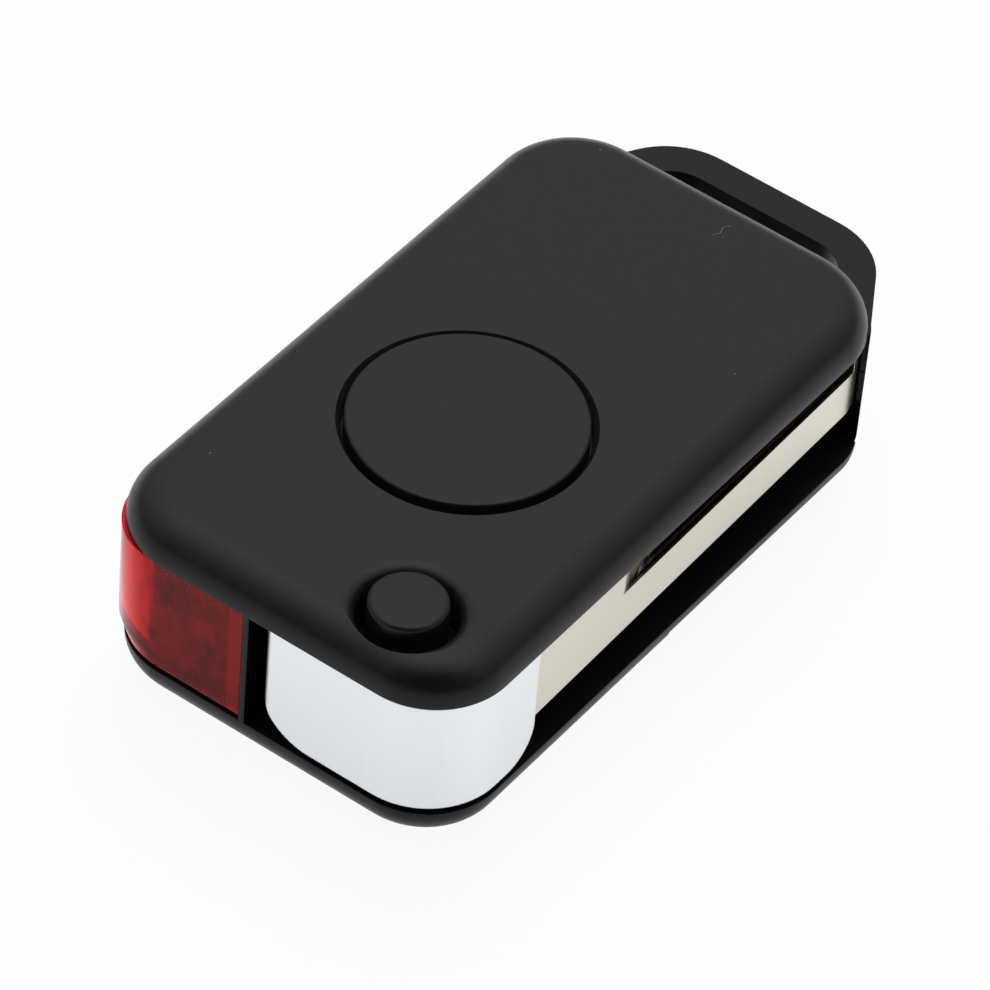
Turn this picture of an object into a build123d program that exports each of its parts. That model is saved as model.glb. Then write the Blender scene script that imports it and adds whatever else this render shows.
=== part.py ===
from build123d import *
import math
import os

os.makedirs("parts", exist_ok=True)

# Case: the plan outline, and its place so that the whole part is centred on the origin
body_width = 35.0
body_length = 60.8
body_height = 18.75
near_radius = 7.0
far_radius = 7.6
loop_reach = 7.9
side_x = body_width / 2
front_y = -(body_length + loop_reach) / 2
back_y = front_y + body_length
mid_y = (front_y + back_y) / 2

# Fits, and how far a cut runs past the face that it opens
seat_gap = 0.05
slip_gap = 0.12
swing_gap = 0.2
cut_past = 1.0

# Top cover
cover_height = 3.55
cover_round = 3.4
cover_skin = 1.6
cover_rim = 2.4
cover_z = body_height - cover_height
cover_under = body_height - cover_skin
lip_height = 1.0
lip_wall = 1.0

# Base: rounded tray with walls on the left and the far end
base_inset = 0.15
base_round = 3.2
far_swell = 1.2
base_far_radius = far_radius - far_swell
base_wall = 1.5
partition = 1.0
rim_z = 3.4
pan_z = 2.0
rim_width = 1.5
wall_top = cover_z - seat_gap

# Key-ring loop at the far end
loop_drop = 2.2
loop_height = 1.95
loop_top = cover_z - loop_drop
loop_bottom = loop_top - loop_height
loop_bar = 3.1
loop_corner = 7.0
loop_angle = 30.4

# Large round button of the remote, and the rubber membrane under it
disc_setback = 25.1
disc_y = front_y + disc_setback
disc_radius = 9.7
disc_gap = 0.2
disc_proud = 0.4
disc_top = body_height + disc_proud
disc_edge = 0.3
disc_skin = 1.0
disc_wall = 1.2
disc_bore = disc_radius - disc_wall
disc_flange = 1.0
disc_flange_radius = disc_radius + disc_flange
disc_flange_height = 0.85
disc_under = cover_under - seat_gap - disc_flange_height
groove_width = 0.7
groove_depth = 0.45
ring_rib = 0.8
ring_outer = disc_flange_radius + slip_gap + ring_rib
ring_wall = 1.45
ring_inner = ring_outer - ring_wall
membrane_lift = 0.1
membrane_z = cover_z + membrane_lift
membrane_sheet = 0.5
membrane_top = membrane_z + membrane_sheet
membrane_boss = 3.0

# Pivot of the blade, under the small release button
pivot_from_side = 8.73
pivot_from_front = 5.89
pivot_x = side_x - pivot_from_side
pivot_y = front_y + pivot_from_front
release_radius = 3.2
release_proud = 1.0
release_top = body_height + release_proud
release_edge = 0.5
release_skin = 1.0
release_hole = 4.05
release_lip = 1.2
release_flange_radius = 4.3
release_flange_drop = 2.2
release_flange_z = cover_z - release_flange_drop
release_flange_height = 1.3
release_lug = 2.0
release_bore = 2.2
notch_gap = 0.2
notch_depth = 1.0
boss_radius = 5.2

# Blade head
head_width = 17.9
head_inset = 0.2
head_right = side_x - head_inset
head_left = head_right - head_width
head_near = front_y + head_inset
head_length = 11.8
head_end = front_y + head_length
head_lift = 0.6
head_z = rim_z + head_lift
head_play = 0.2
head_top = cover_z - head_play
head_near_left = 1.2
head_end_corner = 2.5
head_under_left = 5.0
head_under_end = 3.2
head_solid = 4.4
head_floor = head_z + head_solid
head_bore = 4.5
swing_step = 0.05
head_near_reach = head_near_left + math.hypot(
    head_left + head_near_left - pivot_x, head_near + head_near_left - pivot_y
)
head_end_reach = head_end_corner + math.hypot(
    head_left + head_end_corner - pivot_x, head_end - head_end_corner - pivot_y
)
head_right_reach = math.hypot(head_right - pivot_x, head_end - pivot_y)
head_reach = max(head_near_reach, head_end_reach, head_right_reach)
swing_radius = math.ceil(head_reach / swing_step) * swing_step
swing_room = swing_radius + swing_gap

# Walls inside the base: beside the folded blade and past its tip
channel_width = 4.6
channel_x = side_x - channel_width
tip_wall = 3.65
tip_wall_y = back_y - tip_wall
tip_gap = 0.25
cavity_past = 0.85
cavity_back = tip_wall_y + cavity_past

# Key blade: a Z section, milled on both faces, with a slimmer tang pinned in the head
blade_inset = 0.78
blade_x = side_x - blade_inset
blade_toe_in = 0.86
blade_height = 7.6
blade_drop = 0.75
blade_top = cover_z - blade_drop
blade_z = blade_top - blade_height
blade_thick = 2.6
blade_length = tip_wall_y - head_end - tip_gap
blade_step = 4.3
mill_first = 0.45
mill_second = 0.95
mill_depth = 1.55
mill_start = 12.2
mill_second_start = 13.7
mill_third_start = 15.0
mill_passes = (
    (mill_first, mill_start),
    (mill_second, mill_second_start),
    (mill_depth, mill_third_start),
)
mill_radius = 10.0
mill_corner = 0.5
tip_land = 0.5
mill_end = blade_length - tip_land
tip_corner = 1.0
tang_length = 6.0
tang_inset = 1.0
tang_side = 0.3
pin_radius = 0.75
pin_bore = 0.375
pin_slit = 0.2
pin_back = 3.2
pin_fit = 0.02
pin_sunk = 0.9
pin_z = head_z + pin_sunk
pin_length = head_top - pin_sunk - pin_z

# Pivot post and what turns on it
post_radius = 2.2
post_head_radius = 3.4
post_head_height = 0.95
post_recess = 0.15
post_running = 0.06
post_above = 1.0
post_top = head_floor + post_above
bearing_radius = 4.2
washer_height = 0.45
bearing_top = head_z - seat_gap - washer_height
clip_z = head_floor + 2 * seat_gap
clip_height = 0.45
clip_groove = 0.45
clip_radius = 3.3
clip_mouth = 3.5

# Spring under the release button
spring_wire = 0.55
spring_wire_sides = 8
spring_radius = 2.75
spring_turns = 4

# Window over the infrared emitter, and the emitter's collar behind it
lens_gap = 1.83
lens_right = head_left - lens_gap
lens_length = 10.4
lens_wall = 1.5
lens_side_wall = 1.9
lens_swell = 1.3
lens_corner = near_radius - lens_swell
lens_bevel = 1.6
lens_screen = 0.5
lens_z = rim_z + head_lift
lens_ledge = 1.75
lens_peg_left = 5.47
lens_peg_x = lens_right - lens_peg_left
lens_peg_radius = 0.9
lens_peg_height = 1.2
lens_peg_top = lens_z + lens_peg_height
emitter_left = 6.07
emitter_x = lens_right - emitter_left
emitter_z = (lens_z + wall_top) / 2
emitter_radius = 2.55
emitter_rim = 0.7
emitter_reach = 1.3
front_wall_depth = 3.4
front_wall_y = front_y + front_wall_depth
front_wall_inset = 3.7
front_wall_left = -side_x + front_wall_inset
front_wall_end = 3.47
front_wall_right = lens_right - front_wall_end
front_wall_lift = 0.9
front_wall_z = lens_z + front_wall_lift
front_wall_drop = 0.8
front_wall_top = cover_z - front_wall_drop

# Battery bay and the lid under it
bay_shift = 1.675
bay_x = (channel_x - partition - side_x + base_inset + base_wall) / 2 + bay_shift
bay_setback = 18.3
bay_y = back_y - bay_setback
bay_radius = 10.1
bay_room = 3.8
bay_top = rim_z + bay_room
bay_wall = 1.0
bay_roof = 1.2
lid_length = 30.2
lid_front = back_y - lid_length
lid_plate = 1.6
lid_side_top = 2.3
lid_wall = 1.6
lid_round = 4.2
lid_end_top = loop_bottom - slip_gap
rail_inset = 3.2
rail_x = side_x - rail_inset
rail_width = 1.0
rail_lip = 0.75
rail_top = 2.6
rail_lip_height = 0.5
rail_setback = 2.0
rail_length = 14.0
grip_setback = 6.0
grip_y = lid_front + grip_setback
grip_count = 5
grip_pitch = 1.6
grip_length = 12.0
grip_width = 0.7
grip_depth = 0.35

# Carrier for the board
carrier_z = bay_top + bay_roof
carrier_height = 1.2
carrier_top = carrier_z + carrier_height
board_window = 7.5

# Screws
screw_shank = 0.9
screw_head = 1.85
screw_head_height = 1.0
screw_cross = 2.2
screw_slot = 0.5
screw_wall = 0.5
screw_post = screw_head + screw_wall
cover_screw_setback = 5.8
cover_screw_inset = 6.9
cover_screw_clear = 3.0
cover_screw_y = back_y - cover_screw_setback
cover_screw_points = (
    (-side_x + cover_screw_inset, cover_screw_y),
    (channel_x - partition - cover_screw_clear, cover_screw_y),
)
cover_screw_z = lid_plate + 2 * seat_gap
cover_screw_tip = cover_z - head_play
frame_screw_x = -side_x + base_inset + base_wall + screw_post - 2 * seat_gap
frame_screw_near = 22.0
frame_screw_far = 14.3
frame_screw_points = (
    (frame_screw_x, front_y + frame_screw_near),
    (frame_screw_x, back_y - frame_screw_far),
)
frame_screw_length = 4.6

# Sheet-metal contacts
contact_sheet = 0.3
contact_width = 3.0
contact_left = bay_x - contact_width / 2
contact_right = bay_x + contact_width / 2
contact_tail = 0.8
contact_tail_top = carrier_top + contact_tail
pocket_depth = 1.1
pocket_y = bay_y - bay_radius - pocket_depth
pocket_sunk = 1.0
pocket_z = rim_z - pocket_sunk
tail_slot = contact_sheet + 2 * slip_gap
minus_reach = 5.0
minus_tail_y = bay_y + minus_reach
lid_strip_reach = 8.0
lid_channel = 3.0
lid_channel_height = 1.3

pivot_axis = Axis((pivot_x, pivot_y, 0), (0, 0, 1))
blade_plane = Plane(
    origin=(blade_x, head_end, 0),
    x_dir=(math.cos(math.radians(blade_toe_in)), math.sin(math.radians(blade_toe_in)), 0),
    z_dir=(0, 0, 1),
)
pivot_plane = Plane(origin=(pivot_x, pivot_y, 0), x_dir=(1, 0, 0), z_dir=(0, -1, 0))


def plan_outline(inset=0.0, far_corner=far_radius):
    with BuildSketch() as plan:
        with Locations((0, mid_y)):
            Rectangle(body_width - 2 * inset, body_length - 2 * inset)
        fillet(plan.vertices().group_by(Axis.Y)[0], radius=near_radius - inset)
        fillet(plan.vertices().group_by(Axis.Y)[-1], radius=far_corner - inset)
    return plan.sketch


def base_outline(inset=0.0):
    return plan_outline(base_inset + inset, base_far_radius)


def span(x_low, x_high, y_low, y_high, mode=Mode.ADD):
    # A rectangle from its limits, inside a sketch
    with Locations(((x_low + x_high) / 2, (y_low + y_high) / 2)):
        Rectangle(x_high - x_low, y_high - y_low, mode=mode)


def loop_outline():
    # The sides leave the base's far corners on a tangent and slant inwards
    angle = math.radians(loop_angle)
    corner_x = body_width / 2 - base_far_radius
    corner_y = back_y - base_far_radius
    radius = base_far_radius - base_inset
    foot = Vector(corner_x + radius * math.cos(angle), corner_y + radius * math.sin(angle))
    end_y = back_y + loop_reach
    end_x = foot.X - (end_y - foot.Y) * math.tan(angle)
    with BuildSketch() as loop:
        with BuildLine():
            Polyline(
                (foot.X, foot.Y), (end_x, end_y), (-end_x, end_y), (-foot.X, foot.Y), close=True
            )
        make_face()
        fillet(loop.vertices().group_by(Axis.Y)[-1], radius=loop_corner)
    return loop.sketch


# Top cover: a shallow lid with a quarter-round edge
with BuildPart() as top_cover:
    with BuildSketch(Plane.XY.offset(cover_z)):
        add(plan_outline())
    extrude(amount=cover_height)
    fillet(top_cover.edges().group_by(Axis.Z)[-1], radius=cover_round)
    with BuildSketch(Plane.XY.offset(cover_z)):
        add(plan_outline(cover_rim))
    extrude(amount=cover_under - cover_z, mode=Mode.SUBTRACT)
    # Boss round the release button, rib round the disc and bosses for the screws
    with BuildSketch(Plane.XY.offset(cover_z)):
        with Locations((pivot_x, pivot_y)):
            Circle(boss_radius)
    extrude(amount=cover_under - cover_z)
    with BuildSketch(Plane.XY.offset(membrane_top + seat_gap)):
        with Locations((0, disc_y)):
            Circle(ring_outer)
            Circle(ring_outer - ring_rib, mode=Mode.SUBTRACT)
    extrude(amount=cover_under - membrane_top - seat_gap)
    with BuildSketch(Plane.XY.offset(carrier_top + seat_gap)):
        with Locations(*cover_screw_points):
            Circle(screw_post)
    extrude(amount=cover_under - carrier_top - seat_gap)
    # Lip that drops inside the walls of the base
    with BuildSketch(Plane.XY.offset(cover_z - lip_height)):
        add(base_outline(base_wall + slip_gap))
        add(base_outline(base_wall + slip_gap + lip_wall), mode=Mode.SUBTRACT)
        span(-body_width, 0, lid_front, back_y - far_radius, mode=Mode.INTERSECT)
    extrude(amount=lip_height)
    # Opening for the disc, with a narrow bevel that catches the light
    with BuildSketch(Plane.XY.offset(cover_z)):
        with Locations((0, disc_y)):
            Circle(disc_radius + disc_gap)
    extrude(amount=cover_height, mode=Mode.SUBTRACT)
    disc_rim = top_cover.edges().filter_by(GeomType.CIRCLE).group_by(Axis.Z)[-1]
    chamfer(disc_rim, length=groove_depth, length2=groove_width)
    # Hole for the release button, with a rounded entry
    with BuildSketch(pivot_plane):
        with BuildLine():
            rise = Line((0, cover_z), (0, body_height + cut_past))
            top = Line(rise @ 1, (release_hole + release_lip, body_height + cut_past))
            drop = Line(top @ 1, (release_hole + release_lip, body_height))
            entry = RadiusArc(drop @ 1, (release_hole, body_height - release_lip), -release_lip)
            wall = Line(entry @ 1, (release_hole, cover_z))
            Line(wall @ 1, rise @ 0)
        make_face()
    revolve(axis=pivot_axis, mode=Mode.SUBTRACT)
    # Notches under the boss that the release button's lugs rise into
    with BuildSketch(Plane.XY.offset(cover_z)):
        with Locations((pivot_x, pivot_y)):
            Rectangle(release_lug + 2 * notch_gap, 2 * (release_flange_radius + notch_gap))
            Circle(release_hole - notch_gap, mode=Mode.SUBTRACT)
    extrude(amount=notch_depth, mode=Mode.SUBTRACT)
    # Pilot holes for the cover screws
    with BuildSketch(Plane.XY.offset(carrier_top)):
        with Locations(*cover_screw_points):
            Circle(screw_shank + seat_gap)
    extrude(amount=cover_screw_tip + slip_gap - carrier_top, mode=Mode.SUBTRACT)
top_cover.part.label = "top_cover"

# Base housing: tray, walls, battery cup, partitions and the key-ring loop in one moulding
with BuildPart() as base_housing:
    with BuildSketch():
        add(base_outline())
    extrude(amount=wall_top)
    fillet(base_housing.edges().group_by(Axis.Z)[0], radius=base_round)
    # Room for the board, kept clear of the battery cup and of the wall round the swing
    with BuildSketch(Plane.XY.offset(rim_z)):
        add(base_outline(base_wall))
        span(-body_width, channel_x - partition, front_y, cavity_back, mode=Mode.INTERSECT)
        with Locations((pivot_x, pivot_y)):
            Circle(swing_room + partition, mode=Mode.SUBTRACT)
        span(pivot_x, body_width, front_y - cut_past, pivot_y, mode=Mode.SUBTRACT)
    extrude(amount=wall_top - rim_z, mode=Mode.SUBTRACT)
    with BuildSketch(Plane.XY.offset(rim_z)):
        with Locations((bay_x, bay_y)):
            Circle(bay_radius + bay_wall)
        span(bay_x - contact_width, bay_x + contact_width, pocket_y - bay_wall, bay_y)
    extrude(amount=carrier_z - rim_z)
    # Space the blade head swings in, open to the near and right sides
    with BuildSketch(Plane.XY.offset(rim_z)):
        with Locations((pivot_x, pivot_y)):
            Circle(swing_room)
        span(lens_right + seat_gap, body_width, front_y - cut_past, pivot_y)
    extrude(amount=wall_top - rim_z, mode=Mode.SUBTRACT)
    # Channel for the folded blade, open to the right side
    with BuildSketch(Plane.XY.offset(rim_z)):
        span(channel_x, body_width, pivot_y, tip_wall_y)
    extrude(amount=wall_top - rim_z, mode=Mode.SUBTRACT)
    # Corner that the window fills, and the ledge that the window stands on
    with BuildSketch(Plane.XY.offset(rim_z)):
        lens_back = front_y + lens_length
        span(-body_width, lens_right + seat_gap, front_y - cut_past, lens_back + slip_gap)
    extrude(amount=wall_top - rim_z, mode=Mode.SUBTRACT)
    # Screen between the window and the swing of the head
    with BuildSketch(Plane.XY.offset(rim_z)):
        screen_left = lens_right + seat_gap
        span(screen_left, screen_left + lens_screen, front_y + base_inset, lens_back)
        with Locations((pivot_x, pivot_y)):
            Circle(swing_room, mode=Mode.SUBTRACT)
    extrude(amount=wall_top - rim_z)
    with BuildSketch(Plane.XY.offset(rim_z)):
        add(base_outline(lens_wall / 2))
        add(base_outline(lens_wall / 2 + lens_ledge), mode=Mode.SUBTRACT)
        span(-body_width, lens_right - swing_gap, front_y, lens_back, mode=Mode.INTERSECT)
    extrude(amount=lens_z - rim_z)
    with BuildSketch(Plane.XY.offset(rim_z)):
        with Locations((lens_peg_x, front_y + base_inset + lens_wall + lens_peg_radius + slip_gap)):
            Circle(lens_peg_radius)
    extrude(amount=lens_peg_top - rim_z)
    # Shallow pan under the head, with a bearing boss in it
    with BuildSketch(Plane.XY.offset(pan_z)):
        with Locations((pivot_x, pivot_y)):
            Circle(swing_room)
        add(base_outline(rim_width), mode=Mode.INTERSECT)
    extrude(amount=rim_z - pan_z, mode=Mode.SUBTRACT)
    with BuildSketch(Plane.XY.offset(pan_z)):
        with Locations((pivot_x, pivot_y)):
            Circle(bearing_radius)
    extrude(amount=bearing_top - pan_z)
    # Loop and its slot
    with BuildSketch(Plane.XY.offset(loop_bottom)):
        add(loop_outline())
        span(-body_width, body_width, front_y, cavity_back, mode=Mode.SUBTRACT)
    extrude(amount=loop_top - loop_bottom)
    with BuildSketch(Plane.XY.offset(loop_bottom)):
        with BuildSketch(mode=Mode.PRIVATE) as slot:
            add(loop_outline())
            offset(amount=-loop_bar, mode=Mode.REPLACE)
        add(slot.sketch)
        span(-body_width, body_width, back_y - base_inset, back_y + loop_reach, mode=Mode.INTERSECT)
    extrude(amount=loop_top - loop_bottom, mode=Mode.SUBTRACT)
    # Seat of the battery lid: under the floor, along the lower edge and up the far end
    with BuildSketch():
        span(-body_width, body_width, lid_front - slip_gap, back_y + cut_past)
    extrude(amount=lid_plate + slip_gap, mode=Mode.SUBTRACT)
    for low_y, high_z in ((lid_front, lid_side_top + slip_gap), (tip_wall_y, loop_bottom)):
        with BuildSketch():
            add(base_outline(-cut_past))
            add(base_outline(lid_wall + slip_gap), mode=Mode.SUBTRACT)
            span(-body_width, body_width, low_y - slip_gap, back_y + 2 * cut_past, mode=Mode.INTERSECT)
        extrude(amount=high_z, mode=Mode.SUBTRACT)
    # Battery bay, open below, and the channel that its lid contact slides out through
    with BuildSketch():
        with Locations((bay_x, bay_y)):
            Circle(bay_radius)
    extrude(amount=bay_top, mode=Mode.SUBTRACT)
    with BuildSketch():
        span(bay_x - lid_channel, bay_x + lid_channel, bay_y, back_y + cut_past)
    extrude(amount=lid_plate + lid_channel_height, mode=Mode.SUBTRACT)
    # Pocket for the contact at the cell's edge, and slots for the tails of both contacts
    slot_left = contact_left - slip_gap
    slot_right = contact_right + slip_gap
    with BuildSketch(Plane.XY.offset(pocket_z)):
        span(slot_left, slot_right, pocket_y, bay_y - bay_radius / 2)
    extrude(amount=bay_top - pocket_z, mode=Mode.SUBTRACT)
    with BuildSketch(Plane.XY.offset(bay_top)):
        span(slot_left, slot_right, pocket_y, pocket_y + tail_slot)
        span(slot_left, slot_right, minus_tail_y - slip_gap, minus_tail_y - slip_gap + tail_slot)
    extrude(amount=bay_roof, mode=Mode.SUBTRACT)
    # Slots for the lid's rails
    rail_inner = rail_x - rail_width / 2 - rail_lip
    rail_outer = rail_x + rail_width / 2
    rail_mid_y = (lid_front + back_y) / 2 + cut_past
    for side in (-1, 1):
        with BuildSketch(Plane.XY.offset(lid_plate)):
            with Locations((side * rail_x, rail_mid_y)):
                Rectangle(rail_width + 2 * slip_gap, back_y - lid_front)
        extrude(amount=rail_top + slip_gap - lid_plate, mode=Mode.SUBTRACT)
        with BuildSketch(Plane.XY.offset(rail_top - rail_lip_height - slip_gap)):
            with Locations((side * (rail_inner + rail_outer) / 2, rail_mid_y)):
                Rectangle(rail_outer - rail_inner + 2 * slip_gap, back_y - lid_front)
        extrude(amount=rail_lip_height + 2 * slip_gap, mode=Mode.SUBTRACT)
    # Post hole, with a recess for the post's head
    with BuildSketch():
        with Locations((pivot_x, pivot_y)):
            Circle(post_radius + post_running)
    extrude(amount=bearing_top, mode=Mode.SUBTRACT)
    with BuildSketch():
        with Locations((pivot_x, pivot_y)):
            Circle(post_head_radius + post_running)
    extrude(amount=post_recess + post_head_height, mode=Mode.SUBTRACT)
    # Posts for the screws
    with BuildSketch(Plane.XY.offset(rim_z)):
        with Locations(*cover_screw_points, *frame_screw_points):
            Circle(screw_post)
    extrude(amount=carrier_z - rim_z)
    with BuildSketch(Plane.XY.offset(lid_plate)):
        with Locations(*cover_screw_points):
            Circle(screw_head + slip_gap)
    extrude(amount=screw_head_height + slip_gap, mode=Mode.SUBTRACT)
    with BuildSketch(Plane.XY.offset(lid_plate)):
        with Locations(*cover_screw_points):
            Circle(screw_shank + seat_gap)
    extrude(amount=carrier_z, mode=Mode.SUBTRACT)
    with BuildSketch(Plane.XY.offset(carrier_top - frame_screw_length - slip_gap)):
        with Locations(*frame_screw_points):
            Circle(screw_shank + seat_gap)
    extrude(amount=frame_screw_length, mode=Mode.SUBTRACT)
base_housing.part.label = "base_housing"


def window_plan(corner):
    with BuildSketch() as plan:
        span(-side_x + base_inset, lens_right, front_y + base_inset, lens_back)
        fillet(plan.vertices().group_by(Axis.Y)[0].sort_by(Axis.X)[0], radius=corner)
    return plan.sketch


# Red window: a corner piece on the base, whose corner swells out above the base's rim
with BuildPart() as ir_lens:
    with BuildSketch(Plane.XY.offset(lens_z)):
        add(window_plan(near_radius - base_inset))
    with BuildSketch(Plane.XY.offset(lens_z + lens_bevel)):
        add(window_plan(lens_corner))
    loft()
    with BuildSketch(Plane.XY.offset(lens_z + lens_bevel)):
        add(window_plan(lens_corner))
    extrude(amount=wall_top - lens_z - lens_bevel)
    with BuildSketch(Plane.XY.offset(lens_z)):
        add(plan_outline(base_inset + lens_wall))
        lens_inner = lens_right - lens_side_wall
        span(-body_width, lens_inner, front_y, lens_back + cut_past, mode=Mode.INTERSECT)
    extrude(amount=wall_top - lens_z, mode=Mode.SUBTRACT)
ir_lens.part.label = "ir_lens"

# Carrier for the board, with the ring under the membrane and the emitter's collar
with BuildPart() as inner_frame:
    with BuildSketch(Plane.XY.offset(carrier_z)):
        add(base_outline(base_wall + slip_gap))
        frame_near = lens_back + 2 * slip_gap
        frame_right = channel_x - partition - slip_gap
        span(-body_width, frame_right, frame_near, cavity_back - slip_gap, mode=Mode.INTERSECT)
        span(front_wall_left, front_wall_right, front_wall_y, frame_near + cut_past)
        with Locations((pivot_x, pivot_y)):
            Circle(swing_room + partition + slip_gap, mode=Mode.SUBTRACT)
        with Locations((0, disc_y)):
            Circle(board_window, mode=Mode.SUBTRACT)
        with Locations(*cover_screw_points, *frame_screw_points):
            Circle(screw_shank + slip_gap, mode=Mode.SUBTRACT)
        tail_low = pocket_y - slip_gap
        tail_high = minus_tail_y + tail_slot
        span(slot_left, slot_right, tail_low, tail_high, mode=Mode.SUBTRACT)
    extrude(amount=carrier_height)
    with BuildSketch(Plane.XY.offset(carrier_z)):
        with Locations((0, disc_y)):
            Circle(ring_outer)
            Circle(ring_inner, mode=Mode.SUBTRACT)
        span(-body_width, frame_right, front_y, back_y, mode=Mode.INTERSECT)
        with Locations((pivot_x, pivot_y)):
            Circle(swing_room + partition + slip_gap, mode=Mode.SUBTRACT)
        with Locations(*frame_screw_points):
            Circle(screw_head + slip_gap, mode=Mode.SUBTRACT)
    extrude(amount=membrane_z - seat_gap - carrier_z)
    with BuildSketch(Plane.XY.offset(front_wall_z)):
        span(front_wall_left, front_wall_right, front_wall_y, front_wall_y + partition)
    extrude(amount=front_wall_top - front_wall_z)
    emitter_plane = Plane(
        origin=(emitter_x, front_wall_y + partition, emitter_z), x_dir=(1, 0, 0), z_dir=(0, -1, 0)
    )
    with BuildSketch(emitter_plane):
        Circle(emitter_radius + emitter_rim)
    extrude(amount=partition + emitter_reach)
    with BuildSketch(emitter_plane):
        Circle(emitter_radius)
    extrude(amount=partition + emitter_reach, mode=Mode.SUBTRACT)
inner_frame.part.label = "inner_frame"

# Large round button: a cap with a flange under the cover
with BuildPart() as remote_button:
    with BuildSketch(Plane.XY.offset(disc_under)):
        with Locations((0, disc_y)):
            Circle(disc_radius)
    extrude(amount=disc_top - disc_under)
    fillet(remote_button.edges().group_by(Axis.Z)[-1], radius=disc_edge)
    with BuildSketch(Plane.XY.offset(disc_under)):
        with Locations((0, disc_y)):
            Circle(disc_flange_radius)
    extrude(amount=disc_flange_height)
    with BuildSketch(Plane.XY.offset(disc_under)):
        with Locations((0, disc_y)):
            Circle(disc_bore)
    extrude(amount=disc_top - disc_skin - disc_under, mode=Mode.SUBTRACT)
remote_button.part.label = "remote_button"

# Rubber membrane under the disc
with BuildPart() as button_membrane:
    with BuildSketch(Plane.XY.offset(membrane_z)):
        with Locations((0, disc_y)):
            Circle(ring_outer - seat_gap)
    extrude(amount=membrane_sheet)
    with BuildSketch(Plane.XY.offset(membrane_z)):
        with Locations((0, disc_y)):
            Circle(membrane_boss)
    extrude(amount=disc_top - disc_skin - seat_gap - membrane_z)
button_membrane.part.label = "button_membrane"

# Small release button: a stem through the cover, a flange in the head and two lugs
with BuildPart() as release_button:
    with BuildSketch(Plane.XY.offset(release_flange_z)):
        with Locations((pivot_x, pivot_y)):
            Circle(release_radius)
    extrude(amount=release_top - release_flange_z)
    fillet(release_button.edges().group_by(Axis.Z)[-1], radius=release_edge)
    with BuildSketch(Plane.XY.offset(release_flange_z)):
        with Locations((pivot_x, pivot_y)):
            Circle(release_flange_radius)
    extrude(amount=release_flange_height)
    with BuildSketch(Plane.XY.offset(release_flange_z)):
        with Locations((pivot_x, pivot_y)):
            Circle(release_flange_radius)
            Rectangle(release_lug, 2 * release_flange_radius, mode=Mode.INTERSECT)
    extrude(amount=cover_z - 2 * seat_gap - release_flange_z)
    with BuildSketch(Plane.XY.offset(release_flange_z)):
        with Locations((pivot_x, pivot_y)):
            Circle(release_bore)
    extrude(amount=release_top - release_skin - release_flange_z, mode=Mode.SUBTRACT)
release_button.part.label = "release_button"


def milled_plan(depth, start, end):
    # The cutter's plan: it sinks in on an arc and then runs along the face
    run = math.sqrt(mill_radius**2 - (mill_radius - depth) ** 2)
    with BuildSketch() as plan:
        with Locations((mill_radius - depth, start + run)):
            Circle(mill_radius)
        span(-depth, cut_past, start - cut_past, start + run, mode=Mode.INTERSECT)
        span(-depth, cut_past, start + run, end)
    return plan.sketch


# Key blade: a bar milled into a Z section, with a slimmer tang inside the head
with BuildPart() as key_blade:
    with BuildSketch(blade_plane.offset(blade_z)):
        span(-blade_thick, 0, seat_gap, blade_length)
    extrude(amount=blade_height)
    across = Axis(blade_plane.origin, blade_plane.x_dir)
    tip_edges = key_blade.edges().filter_by(across).group_by(Axis.Y)[-1]
    fillet(tip_edges.group_by(Axis.Z)[0], radius=tip_corner)
    with BuildSketch(blade_plane.offset(blade_z + blade_step)):
        for depth, start in mill_passes:
            add(milled_plan(depth, start, mill_end))
    extrude(amount=blade_height, mode=Mode.SUBTRACT)
    mill_foot = blade_plane.from_local_coords((-mill_depth / 2, mill_end, blade_z + blade_step))
    fillet(key_blade.edges().sort_by_distance(mill_foot)[0], radius=mill_corner)
    with BuildSketch(blade_plane.offset(blade_z)):
        with Locations((-blade_thick, 0)):
            cut = milled_plan(mill_depth, mill_start, mill_end)
            add(mirror(cut, about=Plane.YZ, mode=Mode.PRIVATE))
    extrude(amount=blade_height - blade_step, mode=Mode.SUBTRACT)
    with BuildSketch(blade_plane.offset(blade_z + tang_inset)):
        span(tang_side - blade_thick, -tang_side, -tang_length, cut_past)
    extrude(amount=blade_height - 2 * tang_inset)
    with BuildSketch(blade_plane.offset(blade_z)):
        with Locations((-blade_thick / 2, -pin_back)):
            Circle(pin_radius + seat_gap)
    extrude(amount=blade_height, mode=Mode.SUBTRACT)
key_blade.part.label = "key_blade"

# Pin that holds the tang: a rolled pin with a slit
with BuildPart() as blade_roll_pin:
    with BuildSketch(blade_plane.offset(pin_z)):
        with Locations((-blade_thick / 2, -pin_back)):
            Circle(pin_radius)
            Circle(pin_bore, mode=Mode.SUBTRACT)
        with Locations((-blade_thick / 2 - pin_radius, -pin_back)):
            Rectangle(2 * pin_radius, pin_slit, mode=Mode.SUBTRACT)
    extrude(amount=pin_length)
blade_roll_pin.part.label = "blade_roll_pin"

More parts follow.
